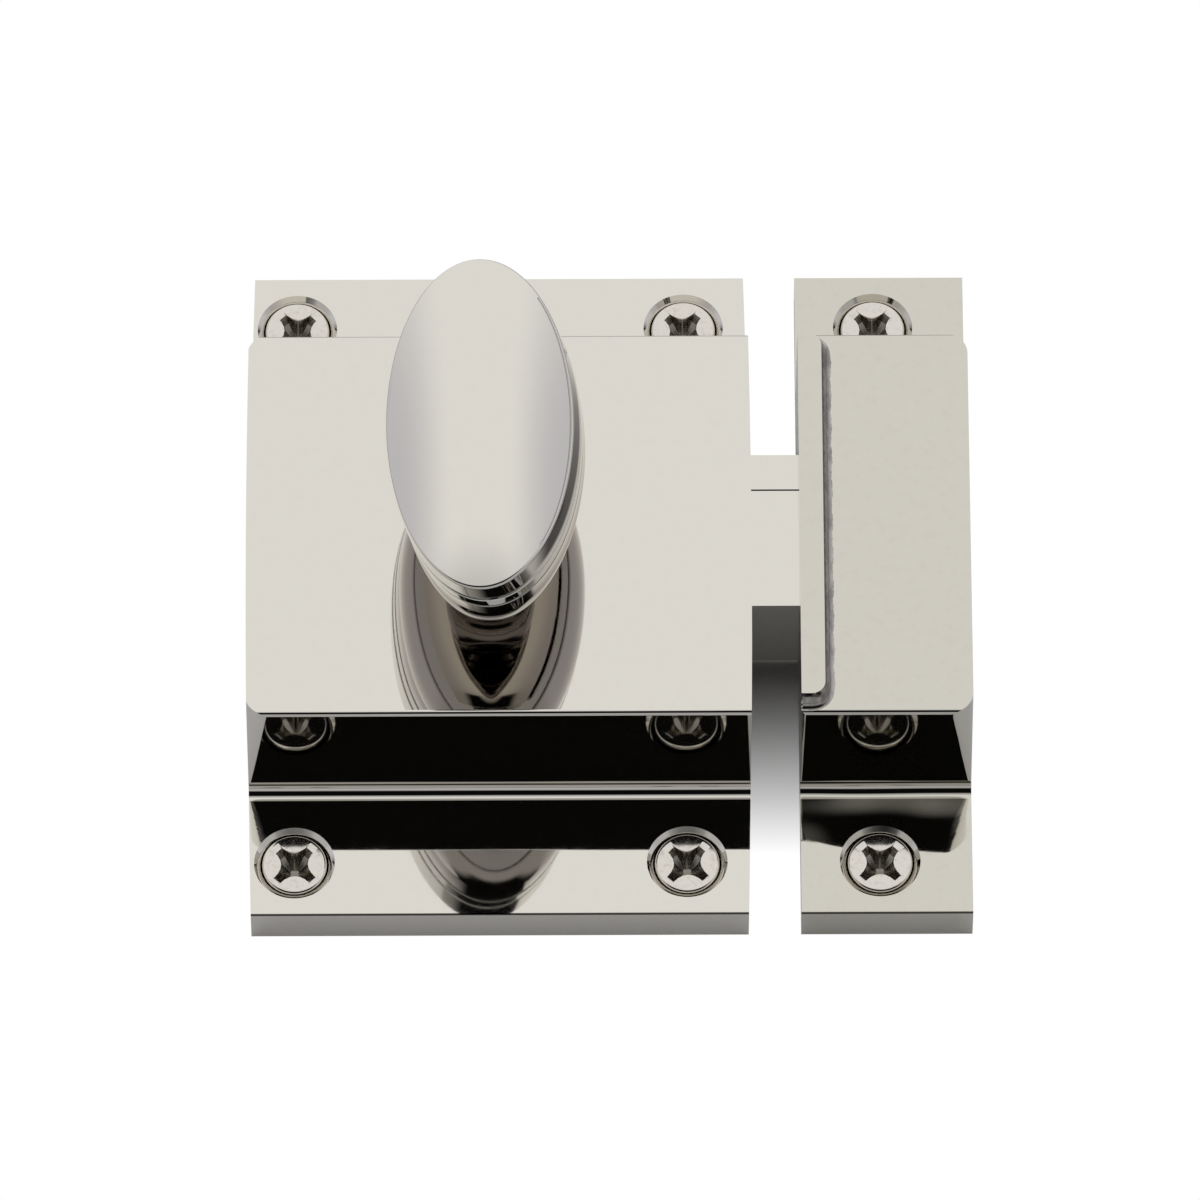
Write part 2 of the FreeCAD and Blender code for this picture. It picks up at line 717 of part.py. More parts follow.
def build_spindle():
    """Spindle: round in the case and the knob, square in the cam, tapped in its end."""
    body = new_body("spindle")
    half = dim.spindle_square / 2
    square = rectangle(-half, half, -half, half)
    square_bottom = cam_bottom + dim.axial_clearance
    pad(
        body,
        outline_sketch(body, "spindle_square", "XY_Plane", [square], square_bottom),
        hub_top - cam_bottom,
    )
    shaft = [(0, 0, dim.spindle_radius)]
    shaft_bottom = hub_top + dim.axial_clearance
    pad(
        body,
        circle_sketch(body, "spindle_round", "XY_Plane", shaft, shaft_bottom),
        knob_bottom + dim.spindle_reach - hub_top,
    )
    tap = [(0, 0, dim.end_screw_radius + dim.fixed_clearance)]
    tap_sketch = circle_sketch(body, "spindle_tap", "XY_Plane", tap, cam_bottom)
    pocket(body, tap_sketch, dim.end_screw_length + dim.axial_clearance, True)
    stand_at(body, 0, 0, 0, dim.cam_lead)


def build_cam():
    """Cam: a hub with a square hole, and an arm that carries the drive pin."""
    body = new_body("cam")
    side = dim.cam_arm_half_width
    arm = [
        (side, 0),
        (-side, 0),
        (-side, -dim.cam_arm, side, 1),
        (0, -dim.cam_arm - side, side, 1),
        (side, -dim.cam_arm),
    ]
    pad(body, outline_sketch(body, "cam_arm", "XY_Plane", [arm], cam_bottom), dim.cam_thickness)
    hub = circle_sketch(body, "cam_hub", "XY_Plane", [(0, 0, dim.cam_hub_radius)], cam_bottom)
    pad(body, hub, hub_top - cam_bottom)
    half = dim.spindle_square / 2 + dim.fixed_clearance
    square = rectangle(-half, half, -half, half)
    square_sketch = outline_sketch(body, "cam_square", "XY_Plane", [square], hub_top)
    pocket(body, square_sketch, hub_top - cam_bottom + dim.margin)
    pin_hole = [(0, -dim.cam_arm, dim.pin_radius)]
    pin_sketch = circle_sketch(body, "cam_pin_hole", "XY_Plane", pin_hole, cam_top)
    pocket(body, pin_sketch, dim.cam_thickness + dim.margin)
    stand_at(body, 0, 0, 0, dim.cam_lead)


def build_drive_pin():
    """The pin riveted in the cam's arm, which reaches down into the bolt's slot."""
    body = new_body("drive_pin")
    bottom = tail_bottom + dim.pin_end_clearance
    pin = [(0, -dim.cam_arm, dim.pin_radius - dim.fixed_clearance)]
    pad(body, circle_sketch(body, "drive_pin_circle", "XY_Plane", pin, bottom), cam_top - bottom)
    stand_at(body, 0, 0, 0, dim.cam_lead)


def build_washer(label, inner, outer, bottom, thickness):
    """A flat washer on the spindle's axis."""
    body = new_body(label)
    circles = [(0, 0, outer), (0, 0, inner)]
    pad(body, circle_sketch(body, f"{label}_circles", "XY_Plane", circles, bottom), thickness)


def build_end_screw():
    """The screw in the spindle's end, which holds the cam on through its washer."""
    body = new_body("end_screw")
    washer_bottom_z = cam_bottom - dim.axial_clearance - dim.end_washer_thickness
    head_top = washer_bottom_z - dim.axial_clearance
    head_bottom = head_top - dim.end_screw_head
    head = [(0, 0, dim.end_screw_head_radius)]
    head_sketch = circle_sketch(body, "end_screw_head", "XY_Plane", head, head_bottom)
    pad(body, head_sketch, dim.end_screw_head)
    shank = circle_sketch(body, "end_screw_shank", "XY_Plane", [(0, 0, dim.end_screw_radius)], head_top)
    pad(body, shank, cam_bottom - head_top + dim.end_screw_length - dim.axial_clearance)
    half = dim.end_screw_head_radius + dim.margin
    slot = rectangle(-half, half, -dim.small_slot_width, dim.small_slot_width)
    slot_sketch = outline_sketch(body, "end_screw_slot", "XY_Plane", [slot], head_bottom)
    pocket(body, slot_sketch, dim.small_slot_depth, True)


def build_spring_rod():
    """The rod inside the spring: let into the case's wall, with a collar for the spring."""
    body = new_body("spring_rod")
    inner_wall = case_left + dim.wall
    place = [(dim.rod_place, dim.rod_height, dim.rod_radius)]
    rod = circle_sketch(body, "rod_circle", "YZ_Plane", place, inner_wall - dim.rod_let_in)
    pad(body, rod, dim.rod_let_in - inner_wall - dim.rod_reach)
    collar = [(dim.rod_place, dim.rod_height, dim.rod_collar_radius)]
    collar_place = inner_wall + dim.fixed_clearance
    collar_sketch = circle_sketch(body, "rod_collar_circle", "YZ_Plane", collar, collar_place)
    pad(body, collar_sketch, dim.rod_collar)


def build_spring():
    """The compression spring: a round wire carried along a helix about the rod."""
    body = new_body("bolt_spring")
    start = case_left + dim.wall + dim.rod_collar + dim.wire_radius + dim.seat_clearance
    end = -dim.lug_place - dim.lug_thickness - dim.wire_radius - dim.seat_clearance
    wire = circle_sketch(body, "spring_wire", "XZ_Plane", [(start, dim.coil_radius, dim.wire_radius)])
    coil = body.newObject("PartDesign::AdditiveHelix", "spring_coil")
    coil.Profile = wire
    coil.ReferenceAxis = (wire, ["H_Axis"])
    coil.Mode = "pitch-turns-angle"
    pitch = (end - start) / dim.coil_turns
    coil.Pitch = pitch.number
    coil.setExpression("Pitch", pitch.formula)
    coil.Turns = dim.coil_turns.number
    coil.setExpression("Turns", dim.coil_turns.formula)
    stand_at(body, 0, dim.rod_place, dim.rod_height)


# The knob is built from ovals: a dome, a grooved belt and a bowl, with a round neck and foot
def bind(item, name, size):
    """Tie one property of an object to its size."""
    setattr(item, name, as_size(size).number)
    item.setExpression(name, as_size(size).formula)


def raise_to(item, z):
    """Raise an object to a height."""
    item.Placement = FreeCAD.Placement(FreeCAD.Vector(0, 0, z.number), FreeCAD.Rotation())
    item.setExpression("Placement.Base.z", z.formula)


def flat_oval(name, half_width, half_length, z):
    """A flat oval, longest along Y, at a height."""
    oval = doc.addObject("Part::Ellipse", name)
    bind(oval, "MajorRadius", half_length)
    bind(oval, "MinorRadius", half_width)
    oval.Placement = FreeCAD.Placement(
        FreeCAD.Vector(0, 0, z.number), FreeCAD.Rotation(FreeCAD.Vector(0, 0, 1), 90)
    )
    oval.setExpression("Placement.Base.z", z.formula)
    return oval


def oval_disc(name, half_width, half_length, bottom, thickness):
    """An upright oval disc, longest along Y."""
    disc = doc.addObject("Part::Extrusion", name)
    disc.Base = flat_oval(f"{name}_oval", half_width, half_length, bottom)
    disc.DirMode = "Normal"
    disc.Solid = True
    bind(disc, "LengthFwd", thickness)
    return disc


def oval_cap(name, half_width, half_length, rise, z, upwards):
    """A cap of an oval ball, round across its width, on a flat oval of the given half sizes."""
    ball_radius = (half_width * half_width + rise * rise) / (2 * rise)
    centre_drop = ball_radius - rise
    latitude = arc_sine(centre_drop / ball_radius)
    cap = doc.addObject("Part::Ellipsoid", name)
    bind(cap, "Radius1", ball_radius)
    bind(cap, "Radius2", ball_radius)
    bind(cap, "Radius3", ball_radius * half_length / half_width)
    cap.Angle1, cap.Angle2 = (latitude.number, 90) if upwards else (-90, -latitude.number)
    cap.setExpression("Angle1" if upwards else "Angle2", (latitude if upwards else -latitude).formula)
    raise_to(cap, z - centre_drop if upwards else z + centre_drop)
    return cap


def upright(kind, name, z, **sizes):
    """A primitive that stands on the spindle's axis."""
    item = doc.addObject(f"Part::{kind}", name)
    for key, size in sizes.items():
        bind(item, key, size)
    raise_to(item, as_size(z))
    return item


def oval_rounding(name, half_width, half_length, bottom, radius):
    """The rounded underside of an oval: flat ovals set along a quarter circle, then joined."""
    ovals = []
    for turn in range(0, 91, 15):
        inset = radius * (1 - math.cos(math.radians(turn)))
        z = bottom + radius * (1 - math.sin(math.radians(turn)))
        ovals.append(flat_oval(f"{name}_oval_{turn}", half_width - inset, half_length - inset, z))
    rounding = doc.addObject("Part::Loft", name)
    rounding.Sections = ovals
    rounding.Solid = True
    rounding.Ruled = False
    return rounding


def build_knob():
    """The oval turn knob: dome, grooved belt and bowl on a neck, bored for the spindle."""
    groove_top = dim.belt_top - dim.upper_belt
    groove_bottom = groove_top - dim.belt_groove
    belt_bottom = groove_bottom - dim.lower_belt
    bowl_bottom = belt_bottom - dim.bowl_depth
    width, length = dim.belt_half_width, dim.belt_half_length
    bowl_width, bowl_length = width - dim.bowl_inset, length - dim.bowl_inset
    bowl_side = dim.bowl_depth - dim.bowl_round
    rounding_top = bowl_bottom + dim.bowl_round
    foot_top = knob_bottom + dim.foot_height
    cone_bottom = foot_top - dim.fixed_clearance
    pieces = [
        oval_cap(
            "knob_dome",
            width - dim.dome_inset,
            length - dim.dome_inset,
            dim.dome_rise,
            dim.belt_top,
            True,
        ),
        oval_disc("knob_upper_belt", width, length, groove_top, dim.upper_belt),
        oval_disc(
            "knob_groove",
            width - dim.groove_depth,
            length - dim.groove_depth,
            groove_bottom,
            dim.belt_groove,
        ),
        oval_disc("knob_lower_belt", width, length, belt_bottom, dim.lower_belt),
        oval_disc("knob_bowl_side", bowl_width, bowl_length, rounding_top, bowl_side),
        oval_rounding("knob_bowl", bowl_width, bowl_length, bowl_bottom, dim.bowl_round),
        upright(
            "Cylinder",
            "knob_neck",
            knob_bottom,
            Radius=dim.neck_radius,
            Height=belt_bottom - knob_bottom,
        ),
        upright(
            "Cone",
            "knob_foot_taper",
            cone_bottom,
            Radius1=dim.foot_radius,
            Radius2=dim.neck_radius,
            Height=dim.foot_taper,
        ),
        upright(
            "Cylinder",
            "knob_foot",
            knob_bottom,
            Radius=dim.foot_radius,
            Height=dim.foot_height,
        ),
    ]
    solid = doc.addObject("Part::MultiFuse", "knob_solid")
    solid.Shapes = pieces
    bore = upright(
        "Cylinder",
        "knob_bore",
        knob_bottom - dim.margin,
        Radius=dim.spindle_radius + dim.fixed_clearance,
        Height=dim.spindle_reach + dim.margin + 2 * dim.axial_clearance,
    )
    screw_hole = doc.addObject("Part::Cylinder", "knob_screw_hole")
    bind(screw_hole, "Radius", dim.set_screw_radius + dim.fixed_clearance)
    bind(screw_hole, "Height", dim.neck_radius + dim.margin)
    lay_along_y(screw_hole, 0, knob_bottom + dim.set_screw_height)
    bores = doc.addObject("Part::MultiFuse", "knob_bores")
    bores.Shapes = [bore, screw_hole]
    knob = doc.addObject("Part::Cut", "knob")
    knob.Label = "knob"
    knob.Base = solid
    knob.Tool = bores
    return knob


def lay_along_y(item, y, z):
    """Turn an upright cylinder to run along +Y from a place on the spindle's axis."""
    item.Placement = FreeCAD.Placement(
        FreeCAD.Vector(0, as_size(y).number, z.number),
        FreeCAD.Rotation(FreeCAD.Vector(1, 0, 0), -90),
    )
    item.setExpression("Placement.Base.y", as_size(y).formula)
    item.setExpression("Placement.Base.z", z.formula)


def build_set_screw():
    """The headless screw through the neck, which bears on the spindle."""
    blank = doc.addObject("Part::Cylinder", "set_screw_blank")
    bind(blank, "Radius", dim.set_screw_radius)
    bind(blank, "Height", dim.neck_radius - dim.spindle_radius - 2 * dim.fixed_clearance)
    lay_along_y(blank, dim.spindle_radius + dim.fixed_clearance, knob_bottom + dim.set_screw_height)
    slot = doc.addObject("Part::Box", "set_screw_slot")
    bind(slot, "Length", 2 * dim.set_screw_radius + 2 * dim.margin)
    bind(slot, "Width", dim.small_slot_depth + dim.margin)
    bind(slot, "Height", dim.small_slot_width)
    corner = (
        -dim.set_screw_radius - dim.margin,
        dim.neck_radius - dim.fixed_clearance - dim.small_slot_depth,
        knob_bottom + dim.set_screw_height - dim.small_slot_width / 2,
    )
    slot.Placement = FreeCAD.Placement(
        FreeCAD.Vector(*(size.number for size in corner)), FreeCAD.Rotation()
    )
    for axis, size in zip("xyz", corner):
        slot.setExpression(f"Placement.Base.{axis}", size.formula)
    screw = doc.addObject("Part::Cut", "knob_set_screw")
    screw.Label = "knob_set_screw"
    screw.Base = blank
    screw.Tool = slot


build_case()
build_keeper()
build_back_plate()
build_small_screws()
for number, (x, y) in enumerate(case_screw_places, 1):
    build_wood_screw(f"case_screw_{number}", x, y)
for number, (x, y) in enumerate(keeper_screw_places, 1):
    build_wood_screw(f"keeper_screw_{number}", x, y)
build_bolt()
build_spindle()
build_cam()
build_drive_pin()
build_washer(
    "thrust_washer",
    dim.spindle_radius + dim.seat_clearance,
    dim.thrust_washer_radius,
    washer_bottom,
    dim.thrust_washer_thickness,
)
build_washer(
    "end_washer",
    dim.end_screw_radius + dim.seat_clearance,
    dim.end_washer_radius,
    cam_bottom - dim.axial_clearance - dim.end_washer_thickness,
    dim.end_washer_thickness,
)
build_end_screw()
build_spring_rod()
build_spring()
build_knob()
build_set_screw()
doc.recompute()

# Check every object, then write each sub-part
sub_parts = [item for item in doc.Objects if item.TypeId == "PartDesign::Body"]
sub_parts += [doc.getObject("knob"), doc.getObject("knob_set_screw")]
for item in doc.Objects:
    if "Invalid" in item.State or "Error" in item.State:
        raise RuntimeError(f"{item.Label} failed: {item.State}")
for item in sub_parts:
    shape = item.Shape
    if shape.isNull() or not shape.isValid() or len(shape.Solids) != 1:
        raise RuntimeError(f"{item.Label} is not one valid solid")
for item in sub_parts:
    item.Shape.exportStep(f"parts/{item.Label}.step")
    box = item.Shape.BoundBox
    print(
        f"{item.Label}: {item.Shape.Volume:.1f} mm3,"
        f" X {box.XMin:.2f} to {box.XMax:.2f},"
        f" Y {box.YMin:.2f} to {box.YMax:.2f},"
        f" Z {box.ZMin:.2f} to {box.ZMax:.2f}"
    )
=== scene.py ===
# %% [markdown]
# # A polished cupboard catch
# The part is a two-piece catch in polished nickel: a case with an oval turn knob and a sliding
# bolt, and a keeper with a raised lip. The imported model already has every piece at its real
# size, and this file gives the pieces that show a smooth mirror skin, real screw threads and a
# studio to reflect. Millimetres are used for all sizes below, and a mesh is made in metres.

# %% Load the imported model
import json
import bmesh
import bpy
import numpy as np
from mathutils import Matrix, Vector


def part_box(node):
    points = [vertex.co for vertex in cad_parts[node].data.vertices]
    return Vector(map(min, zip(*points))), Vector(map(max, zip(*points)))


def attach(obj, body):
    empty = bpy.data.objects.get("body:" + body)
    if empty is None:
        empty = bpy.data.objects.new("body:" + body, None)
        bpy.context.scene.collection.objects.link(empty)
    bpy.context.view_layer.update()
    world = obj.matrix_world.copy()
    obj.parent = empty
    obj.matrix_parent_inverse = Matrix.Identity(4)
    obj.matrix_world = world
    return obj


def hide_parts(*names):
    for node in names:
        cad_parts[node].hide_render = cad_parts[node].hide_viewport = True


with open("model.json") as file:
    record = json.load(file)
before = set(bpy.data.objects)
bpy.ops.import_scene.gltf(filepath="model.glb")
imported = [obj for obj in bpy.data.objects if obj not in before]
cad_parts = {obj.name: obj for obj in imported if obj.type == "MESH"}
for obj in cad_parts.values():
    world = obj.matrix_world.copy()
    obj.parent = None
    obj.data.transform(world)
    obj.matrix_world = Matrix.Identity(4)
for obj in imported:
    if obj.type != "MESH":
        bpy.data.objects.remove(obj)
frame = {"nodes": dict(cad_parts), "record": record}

MM = 0.001
scene = bpy.context.scene
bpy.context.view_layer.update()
case_low, case_high = (np.array(corner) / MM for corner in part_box("case"))
keeper_low, keeper_high = (np.array(corner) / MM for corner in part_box("keeper"))
print("nodes in the frame:", len(frame["nodes"]))

# %% [markdown]
# Polished nickel is a warm mirror. Its colour is the share of light it gives back, a little less
# blue than red, so a white studio shows in it as a warm white. A finish could be painted on a
# picture and laid over the pieces, but a picture blurs close up. So each metal is a material
# worked out by nodes, and these helpers keep its lines short.

# %% Shader helpers
def new_material(name, base, roughness, metallic=1.0):
    """A material whose Principled shader has its own flat values set."""
    material = bpy.data.materials.new(name)
    material.use_nodes = True
    shader = material.node_tree.nodes["Principled BSDF"]
    shader.inputs["Base Color"].default_value = (*base, 1)
    shader.inputs["Metallic"].default_value = metallic
    shader.inputs["Roughness"].default_value = roughness
    return material


def add_node(tree, kind, links=(), **settings):
    """One node with its settings, and its inputs linked or given a value."""
    node = tree.nodes.new(kind)
    for key, value in settings.items():
        setattr(node, key, value)
    for socket, value in links:
        if isinstance(value, bpy.types.NodeSocket):
            tree.links.new(value, node.inputs[socket])
        else:
            node.inputs[socket].default_value = value
    return node


def product(tree, first, second):
    """Two values multiplied."""
    return add_node(tree, "ShaderNodeMath", [(0, first), (1, second)], operation="MULTIPLY").outputs[0]


def difference(tree, first, second):
    """The second value taken from the first."""
    return add_node(tree, "ShaderNodeMath", [(0, first), (1, second)], operation="SUBTRACT").outputs[0]


def mixed(tree, factor, first, second):
    """The colour between two colours. On the Mix node, sockets 6 and 7 and output 2 are colours."""
    colours = [(0, factor), (6, first), (7, second)]
    return add_node(tree, "ShaderNodeMix", colours, data_type="RGBA").outputs[2]

# %% [markdown]
# Painted shade, painted dark reflections and other marks sit at certain places on a piece, such as
# a groove or an edge. They could be painted by hand, but a mask worked out from the place itself
# stays sharp at any size. Object coordinates give the place, and a smooth step fades the mask in and out.

# %% Masks by place
def step_between(tree, value, low, high):
    """Zero at low and before it, one at high and beyond it, smooth between. High may be the
    lower number, and the mask then runs downwards."""
    return add_node(tree, "ShaderNodeMapRange", [("Value", value), ("From Min", low), ("From Max", high)],
                    interpolation_type="SMOOTHSTEP").outputs["Result"]


def place_in(tree):
    """The place on a piece along X, Y and Z, in metres."""
    place = add_node(tree, "ShaderNodeTexCoord").outputs["Object"]
    return add_node(tree, "ShaderNodeSeparateXYZ", [(0, place)]).outputs


def beyond(tree, place, start, full):
    """Zero up to the place start and one from the place full on, both in mm."""
    return step_between(tree, place, start * MM, full * MM)


def band(tree, place, low, low_full, high_full, high):
    """One from low_full to high_full, fading to zero at low and at high, in mm."""
    return product(tree, beyond(tree, place, low, low_full), beyond(tree, place, high, high_full))


def cover(material, mask, colour):
    """Lay a colour over a material's own where a mask is one."""
    tree = material.node_tree
    base = tree.nodes["Principled BSDF"].inputs["Base Color"]
    tree.links.new(mixed(tree, mask, base.links[0].from_socket, (*colour, 1)), base)

# %% [markdown]
# Two finishes cover all the metals. The plated pieces were polished by hand, which leaves slow
# waves in the mirror and a faint bloom. The rest keep the grain of casting, turning or drawing.
# Several materials use each finish at its own scale, so each is built once as a node group.

# %% Two finishes as node groups
def value_group(name, inputs, outputs):
    """A group of shader nodes: inputs with their usual values, and outputs, all plain numbers."""
    group = bpy.data.node_groups.new(name, "ShaderNodeTree")
    for label, usual in inputs.items():
        socket = group.interface.new_socket(label, in_out="INPUT", socket_type="NodeSocketFloat")
        socket.default_value = usual
    for label in outputs:
        group.interface.new_socket(label, in_out="OUTPUT", socket_type="NodeSocketFloat")
    return group, group.nodes.new("NodeGroupInput").outputs, group.nodes.new("NodeGroupOutput").inputs


hand_polish, given, made = value_group("hand polish", {"Waves": 70.0, "Haze": 900.0}, ["Height", "Bloom"])
polish_place = add_node(hand_polish, "ShaderNodeTexCoord").outputs["Object"]
waves = add_node(hand_polish, "ShaderNodeTexNoise",
                 [("Vector", polish_place), ("Scale", given["Waves"]), ("Detail", 0.0)])
bloom = add_node(hand_polish, "ShaderNodeTexNoise",
                 [("Vector", polish_place), ("Scale", given["Haze"]), ("Detail", 4.0)])
hand_polish.links.new(waves.outputs[0], made["Height"])
hand_polish.links.new(step_between(hand_polish, bloom.outputs[0], 0.45, 0.75), made["Bloom"])

metal_grain, given, made = value_group(
    "metal grain", {"Along": 300.0, "Across": 3000.0}, ["Height", "Shade"])
grain_place = add_node(metal_grain, "ShaderNodeTexCoord").outputs["Object"]
stretch = add_node(metal_grain, "ShaderNodeCombineXYZ",
                   [(0, given["Along"]), (1, given["Across"]), (2, given["Across"])])
stretched = add_node(metal_grain, "ShaderNodeVectorMath",
                     [(0, grain_place), (1, stretch.outputs[0])], operation="MULTIPLY")
fibres = add_node(metal_grain, "ShaderNodeTexNoise",
                  [("Vector", stretched.outputs[0]), ("Scale", 1.0), ("Detail", 3.0)])
metal_grain.links.new(fibres.outputs[0], made["Height"])
metal_grain.links.new(step_between(metal_grain, fibres.outputs[0], 0.3, 0.7), made["Shade"])
print("finish groups:", hand_polish.name, "and", metal_grain.name)

# %% [markdown]
# Each metal is a colour, a roughness and one of the two finishes. The keeper's nickel is older
# and warmer than the case's, so it has values of its own. A table of metals would give the look
# of new plating, so these values were set by comparing the render with the photograph.

# %% The metals
def finish_with(material, group, sizes, relief, worn, dulled):
    """Lay a finish over a metal: relief in mm for the bumps, and where the group's second output
    is one, the colour worn and the roughness dulled."""
    tree = material.node_tree
    shader = tree.nodes["Principled BSDF"]
    finish = add_node(tree, "ShaderNodeGroup", sizes.items(), node_tree=group)
    mask = finish.outputs[1]
    colour = mixed(tree, mask, shader.inputs["Base Color"].default_value, (*worn, 1))
    tree.links.new(colour, shader.inputs["Base Color"])
    polished = shader.inputs["Roughness"].default_value
    rough = add_node(tree, "ShaderNodeMapRange",
                     [("Value", mask), ("To Min", polished), ("To Max", dulled)])
    tree.links.new(rough.outputs[0], shader.inputs["Roughness"])
    bumps = [("Height", finish.outputs["Height"]), ("Distance", relief * MM), ("Strength", 1.0)]
    tree.links.new(add_node(tree, "ShaderNodeBump", bumps).outputs[0], shader.inputs["Normal"])


nickel = new_material("polished nickel", (0.70, 0.675, 0.62), 0.03)
finish_with(nickel, hand_polish, {"Waves": 75.0, "Haze": 900.0}, 0.06, (0.695, 0.668, 0.612), 0.045)
worn_nickel = new_material("worn nickel", (0.615, 0.592, 0.53), 0.035)
finish_with(worn_nickel, hand_polish, {"Waves": 75.0, "Haze": 900.0}, 0.08, (0.60, 0.575, 0.51), 0.05)
zinc = new_material("zinc-plated sheet", (0.62, 0.64, 0.66), 0.3)
finish_with(zinc, metal_grain, {"Along": 250.0, "Across": 250.0}, 0.01, (0.52, 0.55, 0.58), 0.42)
steel = new_material("bright steel", (0.6, 0.6, 0.61), 0.18)
finish_with(steel, metal_grain, {"Along": 2500.0, "Across": 400.0}, 0.004, (0.52, 0.52, 0.54), 0.3)
brass = new_material("cast brass", (0.76, 0.6, 0.3), 0.28)
finish_with(brass, metal_grain, {"Along": 900.0, "Across": 900.0}, 0.02, (0.66, 0.5, 0.24), 0.42)
wire = new_material("spring wire", (0.42, 0.42, 0.44), 0.25)
finish_with(wire, metal_grain, {"Along": 1500.0, "Across": 1500.0}, 0.003, (0.33, 0.33, 0.35), 0.36)
print("metals:", [metal.name for metal in (nickel, worn_nickel, zinc, steel, brass, wire)])

# %% [markdown]
# The screws are plated too, but less finely polished. The bottom of their recesses is painted
# darker, as painted shade where the recess holds its shadow, and made rougher. A second material on
# the faces of the recess would end in a hard line. A mask by height fades instead, and it marks
# nothing else that is seen, since the head's cone lies hidden in its countersink.

# %% The screws' metal
screw_nickel = new_material("nickel on steel", (0.68, 0.65, 0.6), 0.1)
finish_with(screw_nickel, hand_polish, {"Waves": 300.0, "Haze": 2500.0}, 0.02, (0.6, 0.56, 0.5), 0.15)
screw_nodes = screw_nickel.node_tree
# Painted shade: the recess darkens from 1.8 to 4 mm up, and gets rougher there.
painted_recess_shade = band(screw_nodes, place_in(screw_nodes)["Z"], 1.8, 2.0, 3.5, 4.0)
cover(screw_nickel, painted_recess_shade, (0.34, 0.32, 0.28))
screw_rough = screw_nodes.nodes["Principled BSDF"].inputs["Roughness"]
recess_roughness = add_node(screw_nodes, "ShaderNodeMapRange",
                 [("Value", painted_recess_shade), ("To Min", screw_rough.links[0].from_socket), ("To Max", 0.2)])
screw_nodes.links.new(recess_roughness.outputs[0], screw_rough)
print("dust in the recesses of", screw_nickel.name)

# %% [markdown]
# A dark line is painted along the front edges of the two plates, a painted reflection of the
# studio's dark gap such as a rounded edge would mirror. A dark strip of mesh would stand out of the
# flat face, so the line is a mask: it lies close behind the front and close under the plate's top.
# The case's nickel and the keeper's older, warmer nickel both show it, so it is a group too.

# %% The plates' front edges
plate_thickness = 4.4
painted_edge_reflection, given, made = value_group(
    "painted dark edge reflection", {"Front": case_low[1] * MM, "Top": plate_thickness * MM}, ["Line"])
_, along, height = place_in(painted_edge_reflection)
from_front = beyond(painted_edge_reflection, difference(painted_edge_reflection, along, given["Front"]), 0.2, 0.1)
from_top = beyond(painted_edge_reflection, difference(painted_edge_reflection, given["Top"], height), 0.25, 0.12)
painted_edge_reflection.links.new(product(painted_edge_reflection, from_front, from_top), made["Line"])
for plated in (nickel, worn_nickel):
    line = add_node(plated.node_tree, "ShaderNodeGroup", node_tree=painted_edge_reflection)
    # Painted dark reflection along the front edge of the plate.
    cover(plated, line.outputs["Line"], (0.045, 0.04, 0.035))
    print("dark front edge on", plated.name)

# %% [markdown]
# The keeper's front foot was filed and buffed by hand, so its reflections waver there. Moving the
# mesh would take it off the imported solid. So slow waves are laid over the polish in front of the
# box and low on its wall, where they bend the reflections only, and they fade out above and behind.

# %% The keeper's unsteady front
keeper_nodes = worn_nickel.node_tree
keeper_normal = keeper_nodes.nodes["Principled BSDF"].inputs["Normal"]
_, along, height = place_in(keeper_nodes)
filed_foot = product(keeper_nodes, beyond(keeper_nodes, along, -20, -24),
                     beyond(keeper_nodes, height, 12, 5))
filing = add_node(keeper_nodes, "ShaderNodeGroup", [("Waves", 130.0)], node_tree=hand_polish)
waver = add_node(keeper_nodes, "ShaderNodeBump",
                 [("Height", product(keeper_nodes, filing.outputs["Height"], filed_foot)),
                  ("Distance", 0.35 * MM), ("Normal", keeper_normal.links[0].from_socket)])
keeper_nodes.links.new(waver.outputs[0], keeper_normal)
print("wavering foot on", worn_nickel.name)

# %% [markdown]
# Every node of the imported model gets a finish, those inside the case too, since the case may be
# opened by whoever reuses the part. Naming 24 nodes by hand would repeat the record, so the
# record's own list says which slot each node has.

# %% Each node's finish
finishes = {"polished_nickel": nickel, "nickel_screws": screw_nickel, "zinc_plated_steel": zinc,
            "bright_steel": steel, "cast_brass": brass, "spring_steel": wire}
for part in frame["record"]["subparts"]:
    surface = frame["nodes"][part["node"]].data
    surface.materials.clear()
    finish = worn_nickel if part["node"] == "keeper" else finishes[part["material_slot"]]
    surface.materials.append(finish)

# %% [markdown]
# Every new skin is a set of rings: the same number of points on each ring, joined ring by ring. A
# turned shape, a slab and the oval knob are all such sets, so one helper makes them all. The
# ends are closed by a face, or by the point to which the last ring shrinks.

